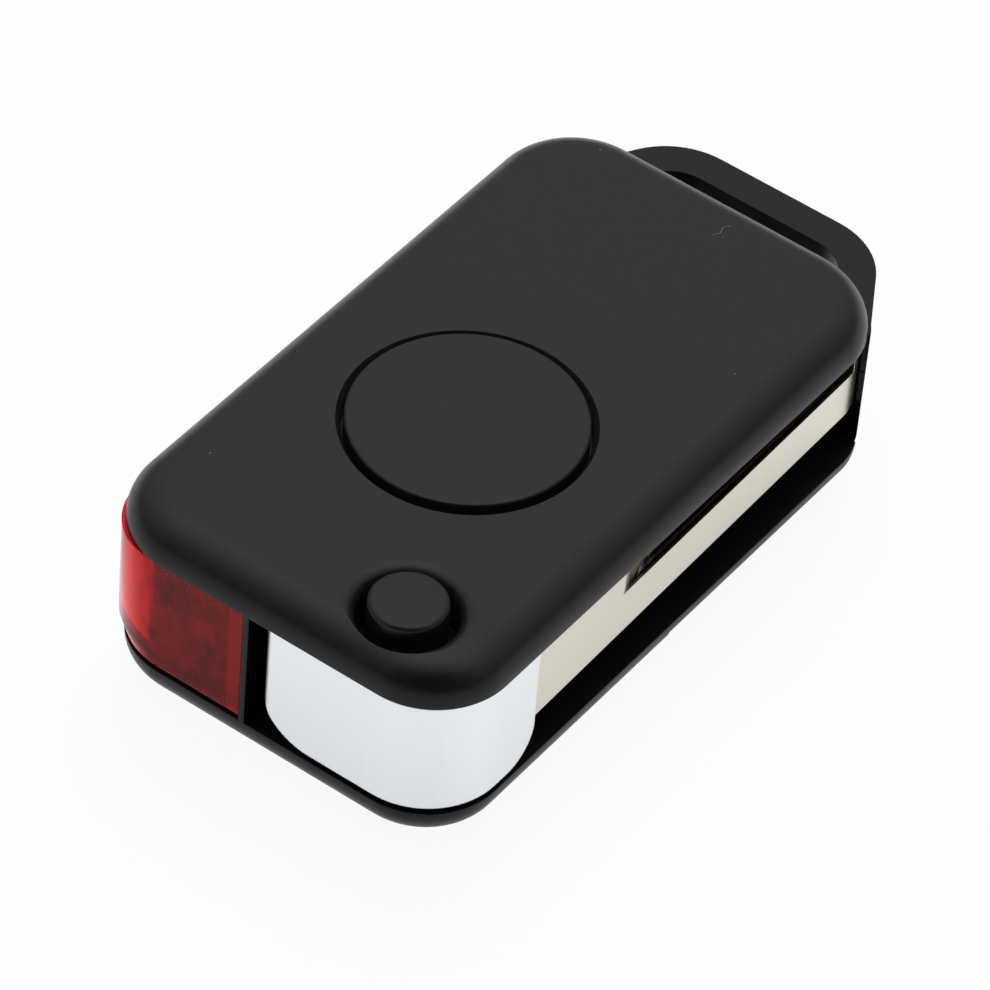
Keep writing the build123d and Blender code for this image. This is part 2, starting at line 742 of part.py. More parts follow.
# Blade head: plan and both elevations cut one another, so that its lower edges are round
with BuildPart() as blade_head:
    with BuildSketch(Plane.XY.offset(head_z)):
        span(head_left, head_right, head_near, head_end)
        fillet(vertices().group_by(Axis.Y)[0].sort_by(Axis.X)[-1], radius=near_radius - head_inset)
        fillet(vertices().group_by(Axis.Y)[0].sort_by(Axis.X)[0], radius=head_near_left)
        fillet(vertices().group_by(Axis.Y)[-1].sort_by(Axis.X)[0], radius=head_end_corner)
    extrude(amount=head_top - head_z)
    with BuildSketch(Plane.XZ):
        span(head_left, head_right, head_z, head_top)
        fillet(vertices().group_by(Axis.X)[0].sort_by(Axis.Y)[0], radius=head_under_left)
    extrude(amount=body_length, both=True, mode=Mode.INTERSECT)
    with BuildSketch(Plane.YZ):
        span(head_near, head_end, head_z, head_top)
        fillet(vertices().group_by(Axis.X)[-1].sort_by(Axis.Y)[0], radius=head_under_end)
    extrude(amount=body_width, both=True, mode=Mode.INTERSECT)
    with BuildSketch(Plane.XY.offset(head_floor)):
        with Locations((pivot_x, pivot_y)):
            Circle(head_bore)
    extrude(amount=head_top - head_floor, mode=Mode.SUBTRACT)
    with BuildSketch(Plane.XY.offset(head_z)):
        with Locations((pivot_x, pivot_y)):
            Circle(post_radius + post_running)
    extrude(amount=head_floor - head_z, mode=Mode.SUBTRACT)
    with BuildSketch(blade_plane.offset(blade_z + tang_inset - seat_gap)):
        tang_outer = seat_gap - tang_side
        tang_inner = tang_side - blade_thick - seat_gap
        span(tang_inner, tang_outer, -tang_length - seat_gap, cut_past)
    extrude(amount=blade_height - 2 * tang_inset + 2 * seat_gap, mode=Mode.SUBTRACT)
    with BuildSketch(blade_plane.offset(head_z)):
        with Locations((-blade_thick / 2, -pin_back)):
            Circle(pin_radius + pin_fit)
    extrude(amount=pin_z + pin_length + seat_gap - head_z, mode=Mode.SUBTRACT)
blade_head.part.label = "blade_head"

# Pivot post, from a head under the base to a groove above the blade head's floor
with BuildPart() as pivot_post:
    with BuildSketch(pivot_plane):
        with BuildLine():
            Polyline(
                (0, post_recess),
                (post_head_radius, post_recess),
                (post_head_radius, post_recess + post_head_height),
                (post_radius, post_recess + post_head_height),
                (post_radius, clip_z - seat_gap),
                (post_radius - clip_groove, clip_z - seat_gap),
                (post_radius - clip_groove, clip_z + clip_height + seat_gap),
                (post_radius, clip_z + clip_height + seat_gap),
                (post_radius, post_top),
                (0, post_top),
                close=True,
            )
        make_face()
    revolve(axis=pivot_axis)
pivot_post.part.label = "pivot_post"

with BuildPart() as thrust_washer:
    with BuildSketch(Plane.XY.offset(bearing_top)):
        with Locations((pivot_x, pivot_y)):
            Circle(bearing_radius - slip_gap)
            Circle(post_radius + slip_gap, mode=Mode.SUBTRACT)
    extrude(amount=washer_height)
thrust_washer.part.label = "thrust_washer"

with BuildPart() as retaining_clip:
    with BuildSketch(Plane.XY.offset(clip_z)):
        with Locations((pivot_x, pivot_y)):
            Circle(clip_radius)
            Circle(post_radius - clip_groove + seat_gap, mode=Mode.SUBTRACT)
        with Locations((pivot_x, pivot_y - clip_radius)):
            Rectangle(clip_mouth, 2 * clip_radius, mode=Mode.SUBTRACT)
    extrude(amount=clip_height)
retaining_clip.part.label = "retaining_clip"

# Spring between the clip and the release button's flange
with BuildPart() as flip_spring:
    spring_z = clip_z + clip_height + seat_gap + spring_wire / 2
    spring_height = release_flange_z - seat_gap - spring_wire / 2 - spring_z
    with BuildLine(Plane(origin=(pivot_x, pivot_y, spring_z))) as coil:
        Helix(pitch=spring_height / spring_turns, height=spring_height, radius=spring_radius)
    with BuildSketch(Plane(origin=coil.line @ 0, z_dir=coil.line % 0)):
        RegularPolygon(radius=spring_wire / 2, side_count=spring_wire_sides)
    sweep(path=coil.line, is_frenet=True)
flip_spring.part.label = "flip_spring"

# Battery lid: a rounded plate with side lips, an end wall, rails and thumb grooves
with BuildPart() as battery_lid:
    with BuildSketch():
        add(base_outline())
    extrude(amount=lid_end_top)
    fillet(battery_lid.edges().group_by(Axis.Z)[0], radius=lid_round)
    with BuildSketch():
        span(-body_width, body_width, front_y - cut_past, lid_front)
    extrude(amount=lid_end_top, mode=Mode.SUBTRACT)
    with BuildSketch(Plane.XY.offset(lid_plate)):
        add(base_outline(lid_wall))
    extrude(amount=lid_end_top - lid_plate, mode=Mode.SUBTRACT)
    with BuildSketch(Plane.XY.offset(lid_side_top)):
        span(-body_width, body_width, lid_front - cut_past, tip_wall_y)
    extrude(amount=lid_end_top - lid_side_top, mode=Mode.SUBTRACT)
    rail_mid_y = lid_front + rail_setback + rail_length / 2
    for side in (-1, 1):
        with BuildSketch(Plane.XY.offset(lid_plate)):
            with Locations((side * rail_x, rail_mid_y)):
                Rectangle(rail_width, rail_length)
        extrude(amount=rail_top - lid_plate)
        with BuildSketch(Plane.XY.offset(rail_top - rail_lip_height)):
            with Locations((side * (rail_inner + rail_outer) / 2, rail_mid_y)):
                Rectangle(rail_outer - rail_inner, rail_length)
        extrude(amount=rail_lip_height)
    with BuildSketch():
        with Locations((0, grip_y)):
            with GridLocations(0, grip_pitch, 1, grip_count):
                SlotOverall(grip_length, grip_width)
    extrude(amount=grip_depth, mode=Mode.SUBTRACT)
battery_lid.part.label = "battery_lid"

# Screws: two up through the base into the cover, two down through the carrier
with BuildPart() as cover_screws:
    with BuildSketch(Plane.XY.offset(cover_screw_z)):
        with Locations(*cover_screw_points):
            Circle(screw_head)
    extrude(amount=screw_head_height)
    with BuildSketch(Plane.XY.offset(cover_screw_z)):
        with Locations(*cover_screw_points):
            Circle(screw_shank)
    extrude(amount=cover_screw_tip - cover_screw_z)
    with BuildSketch(Plane.XY.offset(cover_screw_z)):
        with Locations(*cover_screw_points):
            Rectangle(screw_cross, screw_slot)
            Rectangle(screw_slot, screw_cross)
    extrude(amount=screw_slot, mode=Mode.SUBTRACT)
cover_screws.part.label = "cover_screws"

with BuildPart() as frame_screws:
    with BuildSketch(Plane.XY.offset(carrier_top)):
        with Locations(*frame_screw_points):
            Circle(screw_head)
    extrude(amount=screw_head_height)
    with BuildSketch(Plane.XY.offset(carrier_top - frame_screw_length)):
        with Locations(*frame_screw_points):
            Circle(screw_shank)
    extrude(amount=frame_screw_length)
    with BuildSketch(Plane.XY.offset(carrier_top + screw_head_height - screw_slot)):
        with Locations(*frame_screw_points):
            Rectangle(screw_cross, screw_slot)
            Rectangle(screw_slot, screw_cross)
    extrude(amount=screw_slot, mode=Mode.SUBTRACT)
frame_screws.part.label = "frame_screws"

# Contacts of sheet metal, bent upright at one end
with BuildPart() as battery_contact_minus:
    minus_z = bay_top - seat_gap - contact_sheet
    with BuildSketch(Plane.XY.offset(minus_z)):
        span(contact_left, contact_right, bay_y - minus_reach, minus_tail_y + contact_sheet)
        with Locations((bay_x, bay_y - minus_reach)):
            Circle(contact_width / 2)
    extrude(amount=contact_sheet)
    with BuildSketch(Plane.XY.offset(minus_z)):
        span(contact_left, contact_right, minus_tail_y, minus_tail_y + contact_sheet)
    extrude(amount=contact_tail_top - minus_z)
battery_contact_minus.part.label = "battery_contact_minus"

with BuildPart() as battery_contact_plus:
    plus_y = pocket_y + slip_gap
    plus_z = pocket_z + slip_gap
    with BuildSketch(Plane.XY.offset(plus_z)):
        span(contact_left, contact_right, plus_y, plus_y + contact_sheet)
    extrude(amount=contact_tail_top - plus_z)
    with BuildSketch(Plane.XY.offset(plus_z)):
        span(contact_left, contact_right, plus_y, bay_y - bay_radius - slip_gap)
    extrude(amount=contact_sheet)
battery_contact_plus.part.label = "battery_contact_plus"

with BuildPart() as lid_contact_strip:
    with BuildSketch(Plane.XY.offset(lid_plate)):
        span(contact_left, contact_right, bay_y - lid_strip_reach, bay_y + lid_strip_reach)
    extrude(amount=contact_sheet)
lid_contact_strip.part.label = "lid_contact_strip"

pieces = [
    base_housing,
    top_cover,
    battery_lid,
    ir_lens,
    inner_frame,
    remote_button,
    button_membrane,
    release_button,
    blade_head,
    key_blade,
    blade_roll_pin,
    flip_spring,
    pivot_post,
    thrust_washer,
    retaining_clip,
    cover_screws,
    frame_screws,
    battery_contact_plus,
    battery_contact_minus,
    lid_contact_strip,
]
for piece in pieces:
    export_step(piece.part, f"parts/{piece.part.label}.step")
    print(piece.part.label, len(piece.part.solids()), round(piece.part.volume, 1))
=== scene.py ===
import math
import random

import bmesh
import bpy
from mathutils import Matrix, Vector


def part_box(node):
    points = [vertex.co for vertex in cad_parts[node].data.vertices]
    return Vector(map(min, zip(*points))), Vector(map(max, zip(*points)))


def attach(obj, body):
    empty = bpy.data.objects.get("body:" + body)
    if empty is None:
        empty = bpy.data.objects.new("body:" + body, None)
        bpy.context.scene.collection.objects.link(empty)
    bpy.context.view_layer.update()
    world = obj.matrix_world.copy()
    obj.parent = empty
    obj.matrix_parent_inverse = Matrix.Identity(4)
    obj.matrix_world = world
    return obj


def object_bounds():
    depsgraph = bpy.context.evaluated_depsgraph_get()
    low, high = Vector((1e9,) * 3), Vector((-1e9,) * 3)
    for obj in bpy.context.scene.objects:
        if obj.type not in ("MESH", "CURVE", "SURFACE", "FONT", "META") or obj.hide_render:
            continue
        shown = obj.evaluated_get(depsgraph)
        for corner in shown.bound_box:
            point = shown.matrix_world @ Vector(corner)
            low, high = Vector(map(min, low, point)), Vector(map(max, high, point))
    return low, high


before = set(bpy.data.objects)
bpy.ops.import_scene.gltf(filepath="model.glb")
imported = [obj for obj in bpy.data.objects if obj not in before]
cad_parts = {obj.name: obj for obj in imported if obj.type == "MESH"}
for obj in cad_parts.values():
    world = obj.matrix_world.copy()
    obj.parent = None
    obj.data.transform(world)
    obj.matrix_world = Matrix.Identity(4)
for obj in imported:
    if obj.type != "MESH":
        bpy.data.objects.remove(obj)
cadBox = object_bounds()
print("frame loaded:", len(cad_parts), "pieces")

mm = 0.001  # the scene is in metres, sizes below are in millimetres


# Camera: a long lens from the near right, looking down at the key

cameraPlan = {
    "place": (206.58, -320.76, 379.30),
    "right": (0.79990, 0.59679, 0.06322),
    "up": (-0.45658, 0.53681, 0.70948),
    "lens": 242.2,
    "sensor": 36.0,
    "clipStart": 10.0,
}


def makeCamera(plan):
    data = bpy.data.cameras.new("camera")
    data.lens = plan["lens"]
    data.sensor_width = plan["sensor"]
    data.clip_start = plan["clipStart"] * mm
    right = Vector(plan["right"]).normalized()
    up = Vector(plan["up"]).normalized()
    back = right.cross(up)
    camera = bpy.data.objects.new("camera", data)
    turn = Matrix((right, up, back)).transposed().to_4x4()
    camera.matrix_world = Matrix.Translation(Vector(plan["place"]) * mm) @ turn
    bpy.context.scene.collection.objects.link(camera)
    bpy.context.scene.camera = camera


makeCamera(cameraPlan)
bpy.context.scene.view_settings.view_transform = "Standard"
print("camera placed")


# Nodes and colours

noiseLow = 0.3  # most of a noise lies between these two
noiseHigh = 0.7
bevelSamples = 6


def linear(code):
    # sRGB hex to the linear colour that the sockets take
    parts = [int(code[i : i + 2], 16) / 255 for i in (1, 3, 5)]
    return tuple(c / 12.92 if c <= 0.04045 else ((c + 0.055) / 1.055) ** 2.4 for c in parts) + (1.0,)


def addNode(tree, kind, settings=None, links=None):
    # Settings name a property or an input, and links join an input to another node's output
    node = tree.nodes.new(kind)
    for key, value in (settings or {}).items():
        if isinstance(key, str) and hasattr(node, key):
            setattr(node, key, value)
        else:
            node.inputs[key].default_value = value
    for key, output in (links or {}).items():
        tree.links.new(output, node.inputs[key])
    return node


def newMaterial(name):
    material = bpy.data.materials.new(name)
    material.use_nodes = True
    material.node_tree.nodes.clear()
    return material, material.node_tree


def grains(size):
    # Noise scale for a grain of this many millimetres, in object coordinates
    return 1 / (size * mm)


def roundedNormal(tree, radius, height, strength, distance):
    # Soft edges first, then the surface's own relief
    edge = addNode(tree, "ShaderNodeBevel", {"samples": bevelSamples, "Radius": radius * mm})
    links = {"Height": height, "Normal": edge.outputs["Normal"]}
    return addNode(tree, "ShaderNodeBump", {"Strength": strength, "Distance": distance * mm}, links)


# Moulded ABS and nylon, from a spark-eroded mould face: an even, very fine grain spreads the highlights.
# The real grain of about 0.03 mm is too fine to show, so it is drawn coarser.

def mouldedPlastic(name, plan):
    material, tree = newMaterial(name)
    place = addNode(tree, "ShaderNodeTexCoord").outputs["Object"]
    grain = addNode(
        tree,
        "ShaderNodeTexNoise",
        {"Scale": grains(plan["grain"]), "Detail": 3.0, "Roughness": 0.6},
        {"Vector": place},
    )
    cloud = addNode(
        tree,
        "ShaderNodeTexNoise",
        {"Scale": grains(plan["cloud"]), "Detail": 2.0, "Roughness": 0.5},
        {"Vector": place},
    )
    tone = addNode(
        tree,
        "ShaderNodeMix",
        {"data_type": "RGBA", 6: linear(plan["dark"]), 7: linear(plan["light"])},
        {0: cloud.outputs["Fac"]},
    )
    gloss = addNode(
        tree,
        "ShaderNodeMapRange",
        {
            "From Min": noiseLow, "From Max": noiseHigh,
            "To Min": plan["roughLow"], "To Max": plan["roughHigh"],
        },
        {"Value": cloud.outputs["Fac"]},
    )
    relief = roundedNormal(tree, plan["edge"], grain.outputs["Fac"], plan["bump"], plan["depth"])
    shader = addNode(
        tree,
        "ShaderNodeBsdfPrincipled",
        {"IOR": plan["ior"], "Specular IOR Level": plan["specular"]},
        {"Base Color": tone.outputs[2], "Roughness": gloss.outputs[0], "Normal": relief.outputs[0]},
    )
    addNode(tree, "ShaderNodeOutputMaterial", None, {"Surface": shader.outputs[0]})
    return material


coverFinish = {
    "dark": "#101012", "light": "#18181A", "grain": 0.12, "cloud": 0.9,
    "roughLow": 0.28, "roughHigh": 0.34, "edge": 0.06, "bump": 0.35, "depth": 0.02,
    "ior": 1.52, "specular": 0.21,
}
baseFinish = {
    "dark": "#0B0B0C", "light": "#101011", "grain": 0.12, "cloud": 2.5,
    "roughLow": 0.3, "roughHigh": 0.36, "edge": 0.1, "bump": 0.2, "depth": 0.02,
    "ior": 1.52, "specular": 0.17,
}
innerFinish = {
    "dark": "#1B1A1B", "light": "#242324", "grain": 0.2, "cloud": 1.5,
    "roughLow": 0.5, "roughHigh": 0.65, "edge": 0.1, "bump": 0.3, "depth": 0.03,
    "ior": 1.52, "specular": 0.5,
}
coverAbs = mouldedPlastic("charcoal_abs_fine_moulded", coverFinish)
baseAbs = mouldedPlastic("black_abs_moulded", baseFinish)
innerNylon = mouldedPlastic("black_nylon_moulded", innerFinish)


# Tinted polycarbonate window: half clear, so that what stands behind it shows through, and with darker
# clouds of painted shade in its tint for the dark inside seen through it.
# Painted light makes it lighter where the corner thins out and at the end of its side wall, where light
# shines through.
# With its own index of 1.58 it would mirror the pale floor and look grey, so the index is lower.

windowFinish = {
    "deep": "#8C0A10", "red": "#DC141C", "light": "#FA2830", "blots": 1.6, "streak": 1.4,
    "cornerFrom": -13.7, "cornerTo": -12.3, "sideFrom": -3.85, "sideTo": -3.65,
    "blotFrom": 0.35, "blotTo": 0.68, "ripple": 0.15, "rippleDepth": 0.05,
    "rough": 0.06, "ior": 1.2, "waves": 3.0, "edge": 0.12, "clear": 0.65,
}


def tintedWindow(plan):
    material, tree = newMaterial("red_polycarbonate_moulded")
    place = addNode(tree, "ShaderNodeTexCoord").outputs["Object"]
    flow = addNode(
        tree,
        "ShaderNodeTexNoise",
        {"Scale": grains(plan["waves"]), "Detail": 1.0},
        {"Vector": place},
    )
    relief = roundedNormal(tree, plan["edge"], flow.outputs["Fac"], plan["ripple"], plan["rippleDepth"])
    stretch = addNode(
        tree, "ShaderNodeMapping", {"Scale": (1.0, 1.0, 1 / plan["streak"])}, {"Vector": place}
    )
    # Painted shade: darker clouds in the tint, standing in for the dark inside seen through the window
    blots = addNode(
        tree,
        "ShaderNodeTexNoise",
        {"Scale": grains(plan["blots"]), "Detail": 3.0, "Roughness": 0.6},
        {"Vector": stretch.outputs[0]},
    )
    strong = addNode(
        tree,
        "ShaderNodeMapRange",
        {"From Min": plan["blotFrom"], "From Max": plan["blotTo"]},
        {"Value": blots.outputs["Fac"]},
    )
    cloudy = addNode(
        tree,
        "ShaderNodeMix",
        {"data_type": "RGBA", 6: linear(plan["deep"]), 7: linear(plan["red"])},
        {0: strong.outputs[0]},
    )
    # Painted light: the tint is made lighter at the corner and at the end of the side wall, where light
    # shines through
    across = addNode(tree, "ShaderNodeSeparateXYZ", None, {"Vector": place}).outputs["X"]
    ends = []
    for low, high, start, end in (
        (plan["cornerFrom"], plan["cornerTo"], 1.0, 0.0),
        (plan["sideFrom"], plan["sideTo"], 0.0, 1.0),
    ):
        span = {"From Min": low * mm, "From Max": high * mm, "To Min": start, "To Max": end}
        ends.append(addNode(tree, "ShaderNodeMapRange", span, {"Value": across}))
    paintedGlow = addNode(
        tree, "ShaderNodeMath", {"operation": "MAXIMUM"}, {0: ends[0].outputs[0], 1: ends[1].outputs[0]}
    )
    tint = addNode(
        tree,
        "ShaderNodeMix",
        {"data_type": "RGBA", 7: linear(plan["light"])},
        {0: paintedGlow.outputs[0], 6: cloudy.outputs[2]},
    )
    shader = addNode(
        tree,
        "ShaderNodeBsdfPrincipled",
        {"Roughness": plan["rough"], "IOR": plan["ior"], "Transmission Weight": plan["clear"]},
        {"Base Color": tint.outputs[2], "Normal": relief.outputs[0]},
    )
    clear = addNode(tree, "ShaderNodeBsdfTransparent", {"Color": linear(plan["light"])})
    path = addNode(tree, "ShaderNodeLightPath")
    # Light reaches what is behind the window
    both = addNode(
        tree,
        "ShaderNodeMixShader",
        None,
        {0: path.outputs["Is Shadow Ray"], 1: shader.outputs[0], 2: clear.outputs[0]},
    )
    addNode(tree, "ShaderNodeOutputMaterial", None, {"Surface": both.outputs[0]})
    return material


windowRed = tintedWindow(windowFinish)


# Metals: plated and satin finished, with faint drawn or milled lines that draw out the highlights

def channelToneAndShade(tree, place, colour, channel):
    # The milled channel in the blade's upper half is bare brass and brown. Painted shade darkens it the
    # deeper it lies, and darkens each pass of the cutter after its lip, so that the lip stands out as a
    # painted highlight
    depth = addNode(
        tree, "ShaderNodeVectorMath", {"operation": "DOT_PRODUCT", 1: channel["across"]}, {0: place}
    )
    deep = addNode(
        tree,
        "ShaderNodeMapRange",
        {"From Min": channel["shallow"] * mm, "From Max": channel["deep"] * mm},
        {"Value": depth.outputs["Value"]},
    )
    step = {"From Min": channel["face"] * mm, "From Max": (channel["face"] - channel["pass"]) * mm}
    passes = addNode(
        tree, "ShaderNodeMapRange", {"clamp": False, **step}, {"Value": depth.outputs["Value"]}
    )
    lip = addNode(tree, "ShaderNodeMath", {"operation": "FRACT"}, {0: passes.outputs[0]})
    passShade = addNode(
        tree,
        "ShaderNodeMapRange",
        {"From Min": channel["lipEnd"], "From Max": channel["passShadeFrom"]},
        {"Value": lip.outputs[0]},
    )
    # Painted shade: deeper in the channel, and on each pass after its lip
    dark = addNode(
        tree, "ShaderNodeMath", {"operation": "MAXIMUM"}, {0: deep.outputs[0], 1: passShade.outputs[0]}
    )
    height = addNode(tree, "ShaderNodeSeparateXYZ", None, {"Vector": place}).outputs["Z"]
    above = addNode(
        tree, "ShaderNodeMath", {"operation": "GREATER_THAN", 1: channel["step"] * mm}, {0: height}
    )
    # Faces that are turned to the case get no painted shade and stay bright
    facing = addNode(tree, "ShaderNodeTexCoord").outputs["Normal"]
    inward = addNode(
        tree, "ShaderNodeVectorMath", {"operation": "DOT_PRODUCT", 1: channel["across"]}, {0: facing}
    )
    front = addNode(
        tree,
        "ShaderNodeMath",
        {"operation": "GREATER_THAN", 1: channel["turned"]},
        {0: inward.outputs["Value"]},
    )
    upper = addNode(
        tree, "ShaderNodeMath", {"operation": "MULTIPLY"}, {0: above.outputs[0], 1: front.outputs[0]}
    )
    share = addNode(
        tree, "ShaderNodeMath", {"operation": "MULTIPLY"}, {0: upper.outputs[0], 1: dark.outputs[0]}
    )
    return addNode(
        tree,
        "ShaderNodeMix",
        {"data_type": "RGBA", 7: linear(channel["tone"])},
        {0: share.outputs[0], 6: colour},
    ).outputs[2]


def workedMetal(name, plan):
    material, tree = newMaterial(name)
    place = addNode(tree, "ShaderNodeTexCoord").outputs["Object"]
    stretch = addNode(
        tree,
        "ShaderNodeMapping",
        {"Scale": tuple(grains(size) for size in plan["lines"])},
        {"Vector": place},
    )
    lines = addNode(
        tree,
        "ShaderNodeTexNoise",
        {"Scale": 1.0, "Detail": 4.0, "Roughness": 0.6},
        {"Vector": stretch.outputs[0]},
    )
    tone = addNode(
        tree,
        "ShaderNodeMix",
        {"data_type": "RGBA", 6: linear(plan["dark"]), 7: linear(plan["light"])},
        {0: lines.outputs["Fac"]},
    )
    colour = tone.outputs[2]
    if "channel" in plan:
        colour = channelToneAndShade(tree, place, colour, plan["channel"])
    gloss = addNode(
        tree,
        "ShaderNodeMapRange",
        {
            "From Min": noiseLow, "From Max": noiseHigh,
            "To Min": plan["roughLow"], "To Max": plan["roughHigh"],
        },
        {"Value": lines.outputs["Fac"]},
    )
    relief = roundedNormal(tree, plan["edge"], lines.outputs["Fac"], plan["bump"], plan["depth"])
    shader = addNode(
        tree,
        "ShaderNodeBsdfPrincipled",
        {"Metallic": plan["metallic"]},
        {"Base Color": colour, "Roughness": gloss.outputs[0], "Normal": relief.outputs[0]},
    )
    addNode(tree, "ShaderNodeOutputMaterial", None, {"Surface": shader.outputs[0]})
    return material


headFinish = {
    "dark": "#F0F3F6", "light": "#F8FAFC", "lines": (0.25, 0.25, 6.0), "metallic": 1.0,
    "roughLow": 0.3, "roughHigh": 0.36, "edge": 0.15, "bump": 0.05, "depth": 0.01,
}
bladeFinish = {
    "dark": "#D9D6C8", "light": "#E4E1D2", "lines": (0.1, 8.0, 0.06), "metallic": 1.0,
    "roughLow": 0.2, "roughHigh": 0.28, "edge": 0.05, "bump": 0.08, "depth": 0.01,
    # The channel's brown is bare brass; its darkening with depth and after each lip is painted shade
    "channel": {
        "across": (0.99989, 0.01501, 0.0), "step": 11.13,
        "face": 16.42, "pass": 0.49, "shallow": 15.3, "deep": 15.1,
        "lipEnd": 0.35, "passShadeFrom": 0.7,  # shares of a pass
        "turned": -0.5, "tone": "#43352A",
    },
}
steelFinish = {
    "dark": "#A9ABAD", "light": "#C0C2C4", "lines": (0.3, 0.3, 0.3), "metallic": 1.0,
    "roughLow": 0.25, "roughHigh": 0.38, "edge": 0.05, "bump": 0.1, "depth": 0.01,
}
contactFinish = {
    "dark": "#CDBB8C", "light": "#DCCB9E", "lines": (0.1, 2.0, 2.0), "metallic": 1.0,
    "roughLow": 0.22, "roughHigh": 0.32, "edge": 0.04, "bump": 0.08, "depth": 0.01,
}
headSilver = workedMetal("silver_satin_lacquered_die_casting", headFinish)
bladeNickel = workedMetal("nickel_plated_brass_milled", bladeFinish)
zincSteel = workedMetal("zinc_plated_steel_turned", steelFinish)
contactBronze = workedMetal("plated_bronze_sheet_stamped", contactFinish)


# Silicone rubber of the membrane, pressed: soft and dull, with hardly a highlight

siliconeFinish = {
    "colour": "#4A4A4B", "rough": 0.75, "sheen": 0.1,
    "grain": 0.3, "edge": 0.1, "bump": 0.2, "depth": 0.02,
}


def siliconeRubber(plan):
    material, tree = newMaterial("grey_silicone_pressed")
    place = addNode(tree, "ShaderNodeTexCoord").outputs["Object"]
    grain = addNode(tree, "ShaderNodeTexNoise", {"Scale": grains(plan["grain"])}, {"Vector": place})
    relief = roundedNormal(tree, plan["edge"], grain.outputs["Fac"], plan["bump"], plan["depth"])
    shader = addNode(
        tree,
        "ShaderNodeBsdfPrincipled",
        {
            "Base Color": linear(plan["colour"]), "Roughness": plan["rough"],
            "Sheen Weight": plan["sheen"],
        },
        {"Normal": relief.outputs[0]},
    )
    addNode(tree, "ShaderNodeOutputMaterial", None, {"Surface": shader.outputs[0]})
    return material


silicone = siliconeRubber(siliconeFinish)
print("materials made")


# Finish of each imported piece

finishes = {
    "top_cover": coverAbs,
    "remote_button": coverAbs,
    "release_button": coverAbs,
    "base_housing": baseAbs,
    "battery_lid": baseAbs,
    "inner_frame": innerNylon,
    "ir_lens": windowRed,
    "blade_head": headSilver,
    "key_blade": bladeNickel,
    "button_membrane": silicone,
    "battery_contact_plus": contactBronze,
    "battery_contact_minus": contactBronze,
    "lid_contact_strip": contactBronze,
}
creaseAngle = math.radians(28)
weldDistance = 0.0005 * mm


def smoothingNodes():
    # Joins the loose facets and shades them smooth up to the crease angle
    group = bpy.data.node_groups.new("smoothFaces", "GeometryNodeTree")
    group.interface.new_socket("Geometry", in_out="INPUT", socket_type="NodeSocketGeometry")
    group.interface.new_socket("Geometry", in_out="OUTPUT", socket_type="NodeSocketGeometry")
    start = addNode(group, "NodeGroupInput")
    weld = addNode(
        group,
        "GeometryNodeMergeByDistance",
        {"Distance": weldDistance},
        {"Geometry": start.outputs[0]},
    )
    smooth = addNode(
        group,
        "GeometryNodeSetShadeSmooth",
        {"domain": "FACE", "Shade Smooth": True},
        {"Geometry": weld.outputs[0]},
    )
    angle = addNode(group, "GeometryNodeInputMeshEdgeAngle")
    crease = addNode(
        group,
        "FunctionNodeCompare",
        {"data_type": "FLOAT", "operation": "GREATER_THAN", 1: creaseAngle},
        {0: angle.outputs["Unsigned Angle"]},
    )
    sharp = addNode(
        group,
        "GeometryNodeSetShadeSmooth",
        {"domain": "EDGE", "Shade Smooth": False},
        {"Geometry": smooth.outputs[0], "Selection": crease.outputs["Result"]},
    )
    addNode(group, "NodeGroupOutput", None, {0: sharp.outputs[0]})
    return group


smoothFaces = smoothingNodes()
for name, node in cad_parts.items():
    node.data.materials.clear()
    node.data.materials.append(finishes.get(name, zincSteel))
    modifier = node.modifiers.new("smooth", "NODES")
    modifier.node_group = smoothFaces
print("packed pieces finished")


# Dust that lies on the case: a few flakes, and one curled fibre near the far end

dust = {
    "colour": "#8E8E90",
    "rough": 0.9,
    "thick": 0.03,
    "corners": 7,
    "ragged": 0.55,  # the shortest reach of a corner, as a share of the longest
    "seed": 11,
    "curl": [(2.1, 20.8), (2.3, 21.1), (2.45, 21.5), (2.3, 21.9), (2.35, 22.3), (2.6, 22.6)],
    "curlWire": 0.022,
    "curlSmooth": 2,
    "coverFlakes": [
        (-10.85, 23.21, 0.16), (12.87, 8.77, 0.13), (-13.1, -25.04, 0.14), (2.9, 21.2, 0.1),
    ],
    "windowFlakes": [(-9.86, 14.65, 0.2), (-7.61, 14.92, 0.13)],
}
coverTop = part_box("top_cover")[1][2]
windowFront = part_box("ir_lens")[0][1]
chance = random.Random(dust["seed"])


def lintMaterial():
    # Lint, shed: pale and dull, so it reads as specks on the dark case
    material, tree = newMaterial("grey_lint")
    shader = addNode(
        tree,
        "ShaderNodeBsdfPrincipled",
        {"Base Color": linear(dust["colour"]), "Roughness": dust["rough"]},
    )
    addNode(tree, "ShaderNodeOutputMaterial", None, {"Surface": shader.outputs[0]})
    return material


lint = lintMaterial()


def addFlake(shape, centre, right, up, size):
    # A thin scale with a ragged edge, lying on the face that right and up span
    out = right.cross(up)
    corners = dust["corners"]
    rim = []
    for step in range(corners):
        angle = math.tau * step / corners
        reach = size / 2 * chance.uniform(dust["ragged"], 1.0)
        rim.append(centre + right * (reach * math.cos(angle)) + up * (reach * math.sin(angle)))
    low = [shape.verts.new(point) for point in rim]
    high = [shape.verts.new(point + out * (dust["thick"] * mm)) for point in rim]
    shape.faces.new(list(reversed(low)))
    shape.faces.new(high)
    for i in range(corners):
        j = (i + 1) % corners
        shape.faces.new((low[i], low[j], high[j], high[i]))


def finishPiece(name, data, body):
    piece = bpy.data.objects.new(name, data)
    bpy.context.scene.collection.objects.link(piece)
    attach(piece, body)


def makeFlakes(name, places, right, up, body):
    shape = bmesh.new()
    for centre, size in places:
        addFlake(shape, centre, right, up, size * mm)
    mesh = bpy.data.meshes.new(name)
    shape.to_mesh(mesh)
    shape.free()
    mesh.materials.append(lint)
    finishPiece(name, mesh, body)


